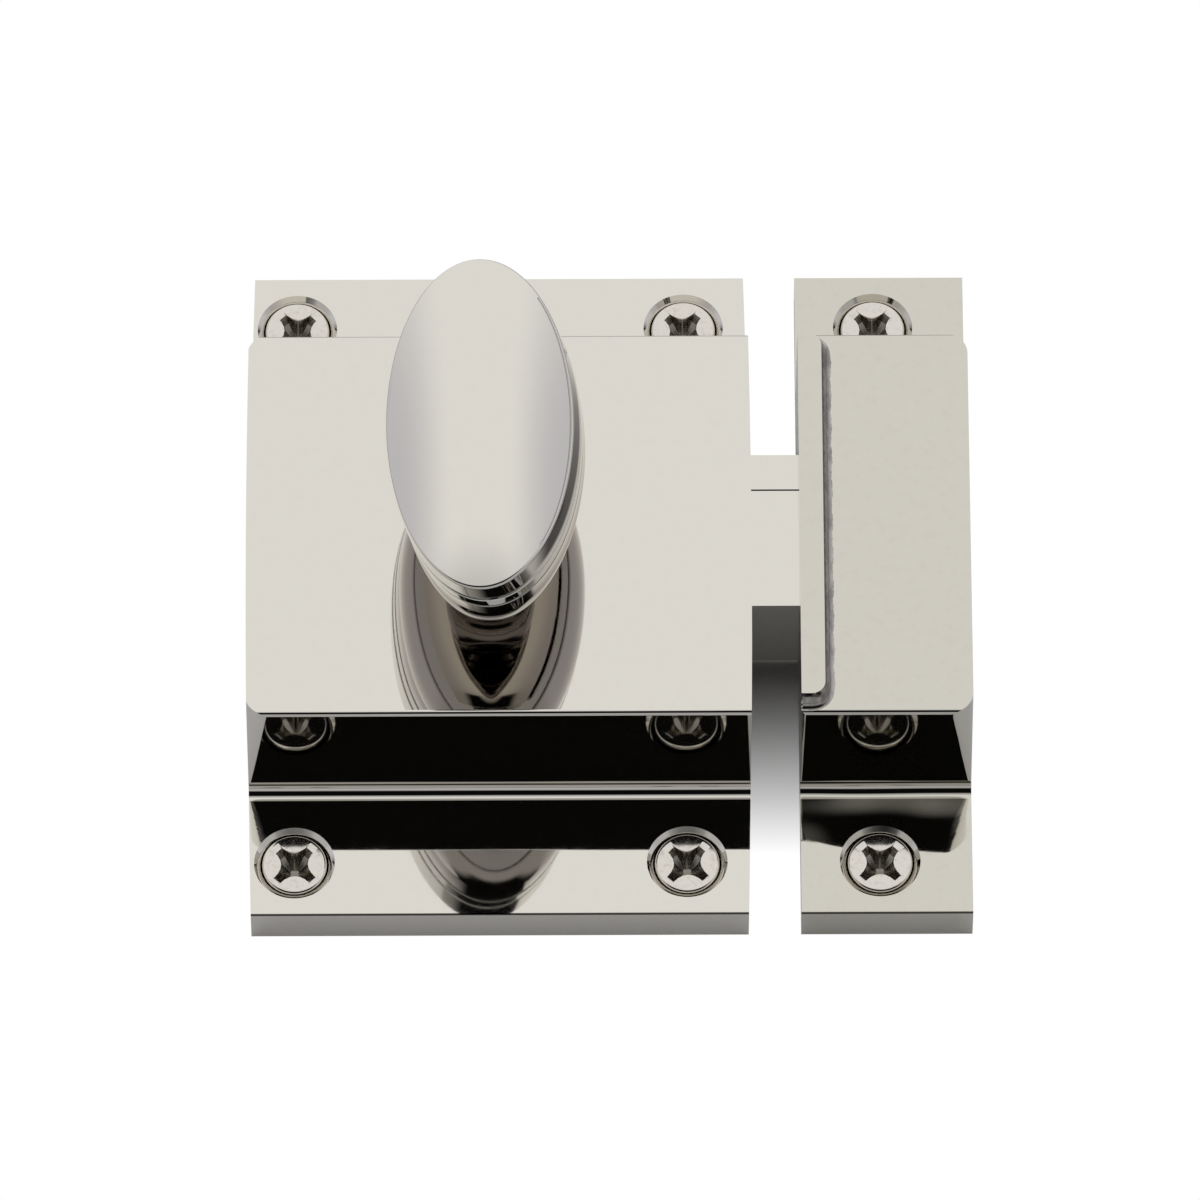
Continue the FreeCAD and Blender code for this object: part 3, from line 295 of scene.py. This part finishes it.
# %% Skin a set of rings
def lofted(name, rings):
    """A closed skin. rings[k, n] is point n of ring k, in millimetres; quad (k, n) joins ring k
    to ring k + 1 between the points n and n + 1. An end that isn't a point gets a face."""
    point_size, same_place = 1e-4, 2e-7
    rings = np.asarray(rings, float)
    count, around = rings.shape[:2]
    k, n = np.meshgrid(np.arange(count - 1), np.arange(around), indexing="ij")
    after = (n + 1) % around
    low, high = k * around, (k + 1) * around
    quads = np.stack([low + n, low + after, high + after, high + n])
    faces = quads.reshape(4, -1).T.tolist()
    for end in (0, count - 1):
        if np.ptp(rings[end], axis=0).max() > point_size:
            faces.append((np.arange(around) + end * around).tolist())
    mesh = bpy.data.meshes.new(name)
    mesh.from_pydata((rings.reshape(-1, 3) * MM).tolist(), [], faces)
    shape = bmesh.new()
    shape.from_mesh(mesh)
    bmesh.ops.remove_doubles(shape, verts=shape.verts, dist=same_place)
    bmesh.ops.recalc_face_normals(shape, faces=shape.faces)
    shape.to_mesh(mesh)
    shape.free()
    piece = bpy.data.objects.new(name, mesh)
    scene.collection.objects.link(piece)
    return piece


def hand_over(piece, body, material, slot, *nodes):
    """Give a finished piece its material, its body and the nodes that it stands for; the slot is not used.
    """
    piece.data.materials.clear()
    piece.data.materials.append(material)
    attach(piece, body)
    if nodes:
        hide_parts(*nodes)
    print(piece.name, "faces:", len(piece.data.polygons))

# %% [markdown]
# The knob is a shallow oval dome on a moulded belt, over a bowl that runs down into a round neck
# and foot. It could be shaped from a smoothed block, but its fine grooves would go soft. So its
# whole skin is one function of two parameters: an angle round the axis, and the place along a
# profile. Each row of the profile is an oval with its own half width and half length, and the
# oval becomes a circle at the neck.

# %% Rows of a profile
knob_rows = []


def add_rows(widths, lengths, heights):
    """Append rows of half width, half length and z to the knob's profile, from the foot up."""
    knob_rows.append(np.column_stack(np.broadcast_arrays(widths, lengths, heights)))


def rounded_rows(width, length, z, reach, drop, start, end, steps=8):
    """Rows on a rounding: inwards by reach (1 - cos t) and along by drop sin t, t in degrees."""
    t = np.radians(np.linspace(start, end, steps + 1))
    add_rows(width - reach * (1 - np.cos(t)), length - reach * (1 - np.cos(t)), z + drop * np.sin(t))


def straight_rows(start, end):
    """A straight stretch between two rows. The rows near its ends keep the roundings beside it
    from bending its reflections."""
    share = np.array([0, 0.04, 0.5, 0.96, 1])[:, None]
    add_rows(*(np.array(start) + share * (np.array(end) - start)).T)

# %% The knob's foot, neck and bowl
case_top = case_high[2]
foot_radius, foot_low, foot_top = 6.2, case_top + 0.3, case_top + 1.5
neck_radius, cove_height = 4.0, 2.6
cove_top = foot_top + cove_height
add_rows(0.01, 0.01, foot_low)
straight_rows((foot_radius, foot_radius, foot_low), (foot_radius, foot_radius, foot_top))
cove_angle = np.linspace(0, np.pi / 2, 12)
cove_radius = foot_radius - (foot_radius - neck_radius) * np.sin(cove_angle)
add_rows(cove_radius, cove_radius, cove_top - cove_height * np.cos(cove_angle))

bowl_width, bowl_length, bowl_bottom, bowl_reach, bowl_drop = 9.4, 18.75, 27.4, 5.3, 5.6
bowl_edge, bowl_rim, bowl_flare = bowl_bottom + bowl_drop, 34.6, 0.1
neck_top = (neck_radius, neck_radius, bowl_bottom)
straight_rows((neck_radius, neck_radius, cove_top), neck_top)
straight_rows(neck_top, (bowl_width - bowl_reach, bowl_length - bowl_reach, bowl_bottom))
rounded_rows(bowl_width, bowl_length, bowl_edge, bowl_reach, -bowl_drop, 90, 0, 28)
bowl_lip = (bowl_width + bowl_flare, bowl_length + bowl_flare, bowl_rim)
straight_rows((bowl_width, bowl_length, bowl_edge), bowl_lip)
print("rows up to the bowl's rim:", sum(len(rows) for rows in knob_rows))

# %% The knob's belts and dome
belt_width, belt_length, undercut, bead = 9.65, 19.0, 0.18, 0.15
low_width, low_length, low_foot, low_top = belt_width - 0.1, belt_length - 0.1, 34.9, 35.8
rounded_rows(low_width, low_length, low_foot, bead, -bead, 90, 0, 4)
straight_rows((low_width, low_length, low_foot), (low_width, low_length, low_top))
rounded_rows(low_width, low_length, low_top, bead, bead, 0, 90, 4)

belt_foot, belt_top = (belt_width - 0.05, belt_length - undercut, 36.25), 38.7
rim_width, rim_round = 9.36, 0.3
rim = (rim_width, belt_length, belt_top - 0.35)
rounded_rows(*belt_foot, bead, -bead, 90, 0, 4)
straight_rows(belt_foot, rim)
rounded_rows(*rim, rim_round, rim_round, 0, 70, 6)

dome_width, dome_length, dome_rise = rim_width - 0.2, belt_length - 0.2, 3.4
towards_axis = np.linspace(1, 0, 48)
add_rows(dome_width * towards_axis, dome_length * towards_axis, belt_top)
print("rows in the whole profile:", sum(len(rows) for rows in knob_rows))

# %% [markdown]
# Across, the dome is an arc of one radius R all along its length: over the rim it stands
# sqrt(R^2 - x^2) - sqrt(R^2 - e^2) high, where e is the rim's own x at the same y. A squashed ball
# would be simpler, but its curve would tighten towards the ends. Above the bowl the real casting
# leans a little to the left, so its right flank shows. A slow shift of x with height gives it
# that lean and keeps its neck upright.

# %% The knob's skin
profile = np.concatenate(knob_rows)
knob_angle = np.linspace(0, 2 * np.pi, 192, endpoint=False)
half_width, half_length, knob_z = np.repeat(profile.T[..., None], len(knob_angle), axis=2)
knob_x, knob_y = half_width * np.cos(knob_angle), half_length * np.sin(knob_angle)

dome = slice(-len(towards_axis), None)
dome_radius = (dome_width ** 2 + dome_rise ** 2) / (2 * dome_rise)
rim_x_squared = dome_width ** 2 * (1 - (knob_y[dome] / dome_length) ** 2)
knob_z[dome] += np.sqrt(dome_radius ** 2 - knob_x[dome] ** 2) - np.sqrt(dome_radius ** 2 - rim_x_squared)

lean_heights, lean_shifts = (bowl_bottom, bowl_edge, belt_top), (0.0, 0.2, -0.9)
knob_x += np.interp(knob_z, lean_heights, lean_shifts)
knob = lofted("oval_knob", np.stack([knob_x, knob_y, knob_z], -1))
knob.data.shade_smooth()
knob.data.set_sharp_from_angle(angle=np.radians(50))
print("points on the knob:", len(knob.data.vertices))

# %% [markdown]
# The knob's underside is painted darker, as painted shade under the bowl. Its grooves and its right
# flank under the rim are painted near black, as painted shade and dark reflection. A copy of the
# case's nickel gets these over its own finish, so that the two metals stay alike elsewhere.

# %% The knob's nickel
knob_nickel = nickel.copy()
knob_nickel.name = "nickel of the knob"
knob_nodes = knob_nickel.node_tree
across, along, height = place_in(knob_nodes)
# Painted shade: the bowl below the belt is darker.
cover(knob_nickel, beyond(knob_nodes, height, 34.5, 33.2), (0.42, 0.39, 0.36))
# Painted shade and dark reflection: a near-black line in each groove.
for groove in (34.72, 36.05):
    line = band(knob_nodes, height, groove - 0.16, groove - 0.04, groove + 0.04, groove + 0.16)
    cover(knob_nickel, line, (0.07, 0.06, 0.05))
# Painted shade and dark reflection: the right flank under the rim is near black.
under_rim = band(knob_nodes, height, 36.3, 36.9, 38.3, 38.5)
right_flank = product(knob_nodes, beyond(knob_nodes, across, 4, 6), beyond(knob_nodes, along, 11, 2))
cover(knob_nickel, product(knob_nodes, under_rim, right_flank), (0.035, 0.03, 0.026))
hand_over(knob, "knob", knob_nickel, "polished_nickel", "knob")

# %% [markdown]
# The keeper's lip falls to the keeper's top in a hollow curve, which was filed by hand and is
# duller than the rest. A Bevel modifier would round it evenly, as no file does, so the fall is an
# outline round the lip that grows outwards as it comes down: by w (1 - cos t) on the way down by
# h sin t. A small wave in w is the unsteady file.

# %% The lip's outline
lip_width, lip_height, lip_setback, lip_corner, box_half_length = 2.4, 2.0, 1.1, 1.4, 22.0
lip_left, lip_right = keeper_low[0] + 0.1, keeper_low[0] + lip_width - lip_corner
lip_end = box_half_length - lip_setback - lip_corner
bend = np.radians(np.linspace(-90, 0, 9))
corner = np.column_stack([np.cos(bend), np.sin(bend)])
edge_y = np.linspace(-lip_end, lip_end, 240)
edge = np.column_stack([np.full_like(edge_y, lip_right), edge_y])
centres = np.vstack([(lip_left, -lip_end), np.tile((lip_right, -lip_end), (len(corner), 1)), edge,
                     np.tile((lip_right, lip_end), (len(corner), 1)), (lip_left, lip_end)])
outward = np.vstack([(0, -1), corner, np.tile((1, 0), (len(edge), 1)), (corner * (1, -1))[::-1], (0, 1)])
print("points in the lip's outline:", len(centres))

# %% The lip's filed fall
def flat_shading(piece, angle):
    """Smooth shading up to an angle in degrees, in which large flat faces keep their own normal."""
    piece.data.shade_smooth()
    piece.data.set_sharp_from_angle(angle=np.radians(angle))
    weigh = piece.modifiers.new("weigh", "WEIGHTED_NORMAL")
    weigh.weight = 100
    weigh.keep_sharp = True
    return piece


fall_width, fall_height = 0.95, 1.75
file_waves = ((0.05, 1.7), (0.03, 4.9), (0.025, 11.3))
unsteady = 1 + sum(size * np.sin(pitch * centres[:, 1] + pitch) for size, pitch in file_waves)
way_down = np.radians(np.linspace(0, 90, 10))[:, None]
fall_reach = lip_corner + fall_width * (1 - np.cos(way_down)) * unsteady
fall_z = keeper_high[2] - lip_height + fall_height * (1 - np.sin(way_down))
fall_xy = centres + fall_reach[..., None] * outward
fall = lofted("lip_fall", np.dstack([fall_xy, np.broadcast_to(fall_z, fall_reach.shape)]))
filed = new_material("filed nickel", (0.42, 0.40, 0.37), 0.12)
finish_with(filed, metal_grain, {"Along": 1800.0, "Across": 500.0}, 0.02, (0.26, 0.25, 0.235), 0.25)
hand_over(flat_shading(fall, 50), "case", filed, "polished_nickel")

# %% [markdown]
# Six wood screws hold the two halves. Each has a flat countersunk head with a cross recess, and a
# thread that shows from the side. The thread could be a coil joined to a rod, which leaves seams.
# Here it is one surface r(angle, z), a tapering core whose ridge climbs with the angle.

# %% Turned heads and threads
def arc(centre, radius, start, end, steps=12):
    """Points on an arc: centre + radius (cos a, sin a), with a from start to end in degrees."""
    a = np.radians(np.linspace(start, end, steps + 1))
    return np.column_stack([centre[0] + radius * np.cos(a), centre[1] + radius * np.sin(a)])


def turned(name, profile, x, y, around=96):
    """A profile (radius, z) turned about an upright axis: x + r cos a, y + r sin a, z."""
    radius, z = np.asarray(profile, float).T
    angle = np.linspace(0, 2 * np.pi, around, endpoint=False)
    r, a = np.meshgrid(radius, angle, indexing="ij")
    z = np.repeat(z[:, None], around, axis=1)
    return lofted(name, np.stack([x + r * np.cos(a), y + r * np.sin(a), z], -1))


def thread_skin(name, x, y, top, tip, core, crest, pitch, around=48):
    """A screw thread: r = core + (crest - core) ridge(z / pitch - a / 2 pi). It fades into the
    plain shank at the top and runs to a point at the tip."""
    rows_per_turn, shank_fade, point_length = 14, 1.5, 4.2
    rows = int((top - tip) / pitch * rows_per_turn)
    angle = np.linspace(0, 2 * np.pi, around, endpoint=False)
    z, a = np.meshgrid(np.linspace(top, tip, rows), angle, indexing="ij")
    phase = (z / pitch - a / (2 * np.pi)) % 1
    ridge = np.clip((1 - np.abs(2 * phase - 1) - 0.45) / 0.5, 0, 1)
    point = np.clip((z - tip) / point_length, 0, 1) ** 0.7
    solid_core = core + (crest - core) * (1 - np.clip((top - z) / shank_fade, 0, 1))
    r = (solid_core + (crest - solid_core) * ridge) * np.maximum(point, 0.001)
    return lofted(name, np.stack([x + r * np.cos(a), y + r * np.sin(a), z], -1))

# %% [markdown]
# The cross recess is a star whose wings grow shorter and narrower with depth, and a Boolean
# modifier cuts it out of the head. Drawing the recess into the head's own mesh would need a
# pattern of faces for every wing, which the cut finds by itself.

# %% The cross recess
def swung(points, degrees):
    """Points (x, y) turned about the origin: x cos q - y sin q, x sin q + y cos q."""
    q = np.radians(degrees)
    return points @ np.array([(np.cos(q), np.sin(q)), (-np.sin(q), np.cos(q))])


def cross_star(reach, half_width, waist, steps=3):
    """A four-winged star, turned 45 degrees, with straight wing ends. Between two wings lies a
    hollow curve (1 - s)^2 start + 2 s (1 - s) pull + s^2 end, through (waist, waist)."""
    start, end = np.array([reach, half_width]), np.array([half_width, reach])
    pull = 2 * np.array([waist, waist]) - (start + end) / 2
    s = np.linspace(0, 1, 2 * steps + 1)[1:-1, None]
    hollow = (1 - s) ** 2 * start + 2 * s * (1 - s) * pull + s ** 2 * end
    quarter = np.vstack([(reach, -half_width), (reach, half_width), hollow])
    return np.vstack([swung(quarter, 90 * wing + 45) for wing in range(4)])


def cross_tool(name, x, y, turn):
    """The recess as a solid: stars at several heights, each with its share of reach and width."""
    levels = [(4.4, 1.12, 1.0), (4.15, 1.12, 1.0), (4.05, 0.96, 0.97), (3.9, 0.93, 0.94),
              (3.1, 0.76, 0.84), (2.4, 0.42, 0.56), (2.1, 0.2, 0.3)]
    wing_reach, wing_half_width, wing_waist = 2.32, 0.44, 0.92
    rings = []
    for z, reach, width in levels:
        waist = wing_waist * (0.2 * reach + 0.8 * width)
        star = swung(cross_star(wing_reach * reach, wing_half_width * width, waist), turn)
        rings.append(np.column_stack([star + (x, y), np.full(len(star), z)]))
    return lofted(name, rings)


def carve(piece, tool):
    """Cut a closed tool out of a piece, and keep what is left as the piece's own mesh."""
    cut = piece.modifiers.new("carve", "BOOLEAN")
    cut.object = tool
    cut.operation = "DIFFERENCE"
    cut.solver = "EXACT"
    depsgraph = bpy.context.evaluated_depsgraph_get()
    mesh = bpy.data.meshes.new_from_object(piece.evaluated_get(depsgraph))
    mesh.name = piece.name
    piece.modifiers.clear()
    piece.data = mesh
    bpy.data.objects.remove(tool)

# %% [markdown]
# A screw is its carved head and its thread in one piece. The screws aren't driven quite square,
# so each face rises a little away from the camera. Turning the whole screw would move its thread
# in the wood, so only the points near the face are raised, in proportion to their y.

# %% The six screws
def joined(pieces, name):
    """Several meshes as one piece."""
    shape = bmesh.new()
    for piece in pieces:
        shape.from_mesh(piece.data)
        bpy.data.objects.remove(piece)
    mesh = bpy.data.meshes.new(name)
    shape.to_mesh(mesh)
    shape.free()
    whole = bpy.data.objects.new(name, mesh)
    scene.collection.objects.link(whole)
    return whole


def tilt_face(piece, y, slope=0.044, cone_foot=2.3):
    """Raise a screw's face: z grows by slope (y' - y), fading in over 1 mm above the cone's foot."""
    points = np.empty(len(piece.data.vertices) * 3)
    piece.data.vertices.foreach_get("co", points)
    points = points.reshape(-1, 3)
    points[:, 2] += slope * (points[:, 1] - y * MM) * np.clip(points[:, 2] / MM - cone_foot, 0, 1)
    piece.data.vertices.foreach_set("co", points.ravel())


def wood_screw(name, x, y, turn):
    """Head, recess and thread of one screw at a place, its cross turned by some degrees."""
    head_radius, head_top, edge_round, shank_radius, shank_end = 3.25, 4.15, 0.27, 1.75, -0.4
    edge = arc((head_radius - edge_round, head_top - edge_round), edge_round, 90, 0, 5)
    outline = [(0.001, head_top), (1.5, head_top), *edge, (head_radius, 3.8), (shank_radius, 2.3),
               (shank_radius, shank_end), (0.001, shank_end)]
    head = turned(name + "_head", outline, x, y)
    carve(head, cross_tool(name + "_star", x, y, turn))
    thread = thread_skin(name + "_thread", x, y, 0.6, -15.0, 1.22, shank_radius, 1.41)
    whole = joined([head, thread], name)
    tilt_face(whole, y)
    return flat_shading(whole, 21)


case_screws = [(-19.7, -31.1, 1), (-19.7, 31.1, -2), (19.7, -31.1, 2), (19.7, 31.1, 3)]
keeper_screws = [(39.05, -31.1, 0), (39.05, 31.1, 2)]
for number, place in enumerate(case_screws, 1):
    screw = wood_screw(f"screw_{number}", *place)
    hand_over(screw, "case", screw_nickel, "nickel_screws", f"case_screw_{number}")
for number, place in enumerate(keeper_screws, 1):
    screw = wood_screw(f"near_screw_{number}", *place)
    hand_over(screw, "case", screw_nickel, "nickel_screws", f"keeper_screw_{number}")

# %% [markdown]
# The studio is a pale tent with a dark gap where the camera stands. A mirror looks like its
# surroundings, so that gap is what draws the black bands on the walls. Lamps and cards could be
# built round the catch, but a few smooth steps over the direction of a ray paint the same tent.
# The camera's own rays see plain white instead.

# %% The tent
scene.view_settings.view_transform = "Standard"
scene.world = bpy.data.worlds.new("studio tent")
scene.world.use_nodes = True
tent = scene.world.node_tree
tent.nodes.clear()
direction = add_node(tent, "ShaderNodeTexCoord").outputs["Generated"]
to_right, to_back, to_top = add_node(tent, "ShaderNodeSeparateXYZ", [(0, direction)]).outputs
aside = add_node(tent, "ShaderNodeMath", [(0, to_right)], operation="ABSOLUTE").outputs[0]

gap_near_side = step_between(tent, to_back, -0.06, -0.12)
gap_height = product(tent, step_between(tent, to_top, 0.36, 0.56), step_between(tent, to_top, 0.98, 0.925))
gap = product(tent, product(tent, gap_near_side, gap_height), step_between(tent, aside, 0.75, 0.55))

side_grey, overhead_grey = (0.68, 0.68, 0.74, 1), (0.55, 0.55, 0.56, 1)
low_left_grey, low_right_grey = (0.16, 0.15, 0.16, 1), (0.06, 0.06, 0.06, 1)
walls = mixed(tent, step_between(tent, aside, 0.35, 0.9), (1, 1, 1, 1), side_grey)
walls = mixed(tent, step_between(tent, to_back, -0.22, 0.06), overhead_grey, walls)
skirt = mixed(tent, step_between(tent, to_right, 0.25, 0.5), low_left_grey, low_right_grey)
walls = mixed(tent, step_between(tent, to_top, 0.14, -0.02), walls, skirt)
lit = mixed(tent, gap, walls, (0.004, 0.004, 0.004, 1))

eye = add_node(tent, "ShaderNodeLightPath").outputs["Is Camera Ray"]
shown = mixed(tent, eye, lit, (1, 1, 1, 1))
glow = add_node(tent, "ShaderNodeBackground", [("Color", shown), ("Strength", 1.0)])
add_node(tent, "ShaderNodeOutputWorld", [("Surface", glow.outputs[0])])
print("nodes that paint the tent:", len(tent.nodes))

# %% [markdown]
# The floor is white paper. The photograph has it cut out to pure white all round the catch, and
# keeps the paper's own shading only in the gap between the case and the keeper. A white sheet
# under a strong lamp would lose that shading too, so the material does the same as the
# photograph: it glows for the camera outside a soft window over the gap. A hint of the same glow
# for mirror rays stands for the bright paper further off.

# %% The floor
sheet_half, sheet_thickness = 900, 20
corners = np.array([(-1, -1), (1, -1), (1, 1), (-1, 1)]) * sheet_half
floor = lofted("floor", [np.column_stack([corners, np.full(4, z)]) for z in (-sheet_thickness, 0)])
paper = new_material("white paper", (0.76, 0.76, 0.78), 0.9, metallic=0.0)
sheet = paper.node_tree
across, along, _ = place_in(sheet)
in_gap = band(sheet, across, case_high[0] - 2, case_high[0] - 1, keeper_low[0] + 1, keeper_low[0] + 2)
towards_front = add_node(sheet, "ShaderNodeMapRange",
                         [("Value", along), ("From Min", -6.5 * MM), ("From Max", -27.8 * MM)]).outputs[0]
# Towards the front of the gap the paper's own shading gives way to the white glow: painted light that
# fades the shadow between the plates into the white.
shaded = difference(sheet, 1.0, product(sheet, towards_front, towards_front))
window = product(sheet, in_gap, product(sheet, shaded, beyond(sheet, along, -2, -6)))

# %% The floor's glow
mirror_hint = 0.11
rays = add_node(sheet, "ShaderNodeLightPath").outputs
hint = product(sheet, rays["Is Glossy Ray"], mirror_hint)
seen = add_node(sheet, "ShaderNodeMath",
                [(0, rays["Is Camera Ray"]), (1, hint)], operation="ADD").outputs[0]
glowing = product(sheet, difference(sheet, 1.0, window), seen)
light = add_node(sheet, "ShaderNodeEmission", [("Color", (1, 1, 1, 1)), ("Strength", 1.0)])
both = add_node(sheet, "ShaderNodeMixShader",
                [(0, glowing), (1, sheet.nodes["Principled BSDF"].outputs[0]), (2, light.outputs[0])])
sheet.links.new(both.outputs[0], sheet.nodes["Material Output"].inputs["Surface"])
floor.data.materials.append(paper)
print("floor of", paper.name, "with a half width in mm of", sheet_half)

# %% [markdown]
# The camera stands high in front of the catch with a long lens, which keeps the plates' edges
# almost parallel. A short lens close by would show the same pieces, but the edges would run
# together towards the back. The camera's place comes from the sizes of the plates and where
# their corners lie in the photograph.

# %% The camera
lens = bpy.data.cameras.new("camera")
lens.lens = 497.6
lens.sensor_width = 36
lens.clip_end = 20
camera = bpy.data.objects.new("camera", lens)
scene.collection.objects.link(camera)
turn, rise, distance = np.radians(-0.24), np.radians(60.18), 1.672
aim = np.array([11.06, -4.03, 10.0]) * MM
back = np.array([np.sin(turn) * np.cos(rise), -np.cos(turn) * np.cos(rise), np.sin(rise)])
camera.location = aim + distance * back
camera.rotation_euler = (np.pi / 2 - rise, 0, turn)
scene.camera = camera
print("camera at", np.round(camera.location, 3))
